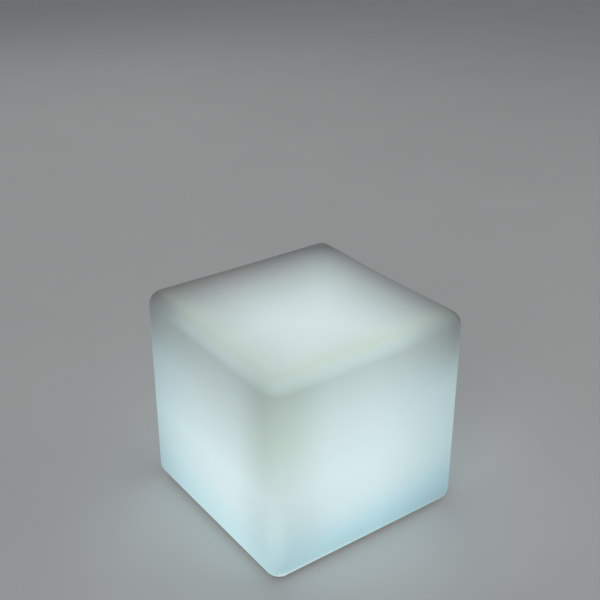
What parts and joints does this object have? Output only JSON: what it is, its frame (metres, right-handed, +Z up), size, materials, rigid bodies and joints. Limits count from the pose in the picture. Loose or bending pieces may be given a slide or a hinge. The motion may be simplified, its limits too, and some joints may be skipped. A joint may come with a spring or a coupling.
{
  "type": "led cube light",
  "caption": "Glowing rounded cube for the garden that also serves as a stool, with a rechargeable lamp unit screwed into a well under it.",
  "frame": {"origin": "on the ground under the middle of the cube, in the plane that the feet stand on", "axes": "+Z up; +X to the right and +Y to the back, square to the side faces. In the picture the left face is -X and the right face is -Y"},
  "size_m": [0.4, 0.4, 0.392],
  "materials": {
    "shell_polyethylene": "satin",
    "housing_plastic": "satin",
    "button_plastic": "satin",
    "foot_rubber": "matte",
    "seal_rubber": "matte",
    "flap_rubber": "matte",
    "stainless_steel": "satin",
    "zinc_steel": "satin",
    "insert_brass": "satin",
    "socket_black": "satin",
    "contact_metal": "polished",
    "switch_black": "satin",
    "plunger_red": "satin",
    "lens_clear": "gloss",
    "cell_sleeve": "gloss",
    "strap_plastic": "satin",
    "pad_foam": "matte",
    "board_green": "satin",
    "chip_black": "matte",
    "capacitor_sleeve": "gloss",
    "coil_copper": "satin",
    "connector_nylon": "satin",
    "lead_insulation": "satin",
    "led_cable_jacket": "satin",
    "spreader_aluminium": "satin",
    "led_board_white": "satin",
    "led_package": "gloss",
    "dome_clear": "gloss"
  },
  "bodies": {
    "root": {"cube_shell": "shell_polyethylene", "lamp_inserts": "insert_brass", "foot_inserts": "insert_brass", "rubber_foot_front_left": "foot_rubber", "rubber_foot_back_left": "foot_rubber", "rubber_foot_front_right": "foot_rubber", "rubber_foot_back_right": "foot_rubber", "foot_screws": "stainless_steel", "flange_gasket": "seal_rubber", "flange_screws": "stainless_steel", "lamp_housing": "housing_plastic", "push_switch": "switch_black", "charge_socket": "socket_black", "socket_pin": "contact_metal", "socket_nut": "contact_metal", "socket_lugs": "contact_metal", "flap_anchor": "flap_rubber", "anchor_screw": "stainless_steel", "indicator_lens": "lens_clear", "battery_cell_front": "cell_sleeve", "battery_cell_back": "cell_sleeve", "cell_links": "contact_metal", "battery_pad": "pad_foam", "battery_strap": "strap_plastic", "strap_screws": "zinc_steel", "control_board": "board_green", "board_screws": "zinc_steel", "board_chips": "chip_black", "board_capacitors": "capacitor_sleeve", "board_coil": "coil_copper", "lead_headers": "connector_nylon", "lead_plugs": "connector_nylon", "battery_leads": "lead_insulation", "socket_leads": "lead_insulation", "led_lead": "led_cable_jacket", "led_plug": "connector_nylon", "heat_spreader": "spreader_aluminium", "led_board": "led_board_white", "led_board_screws": "zinc_steel", "led_chips": "led_package", "remote_receiver": "chip_black", "dome_gasket": "seal_rubber", "lamp_dome": "dome_clear", "dome_screws": "zinc_steel"},
    "power_button": {"power_button": "button_plastic", "button_seal": "seal_rubber", "button_clip": "stainless_steel", "switch_plunger": "plunger_red"},
    "socket_flap": {"socket_flap": "flap_rubber"}
  },
  "joints": [
    {"name": "button_press", "type": "slide", "parent": "root", "child": "power_button", "axis": [0, 0, 1], "range_m": [0, 0.0015], "stiffness_N_per_m": 800, "springref_m": -0.001},
    {"name": "flap_hinge", "type": "hinge", "parent": "root", "child": "socket_flap", "pos_m": [0.012, -0.024, 0.02695], "axis": [0, 1, 0], "range_deg": [0, 100]}
  ]
}
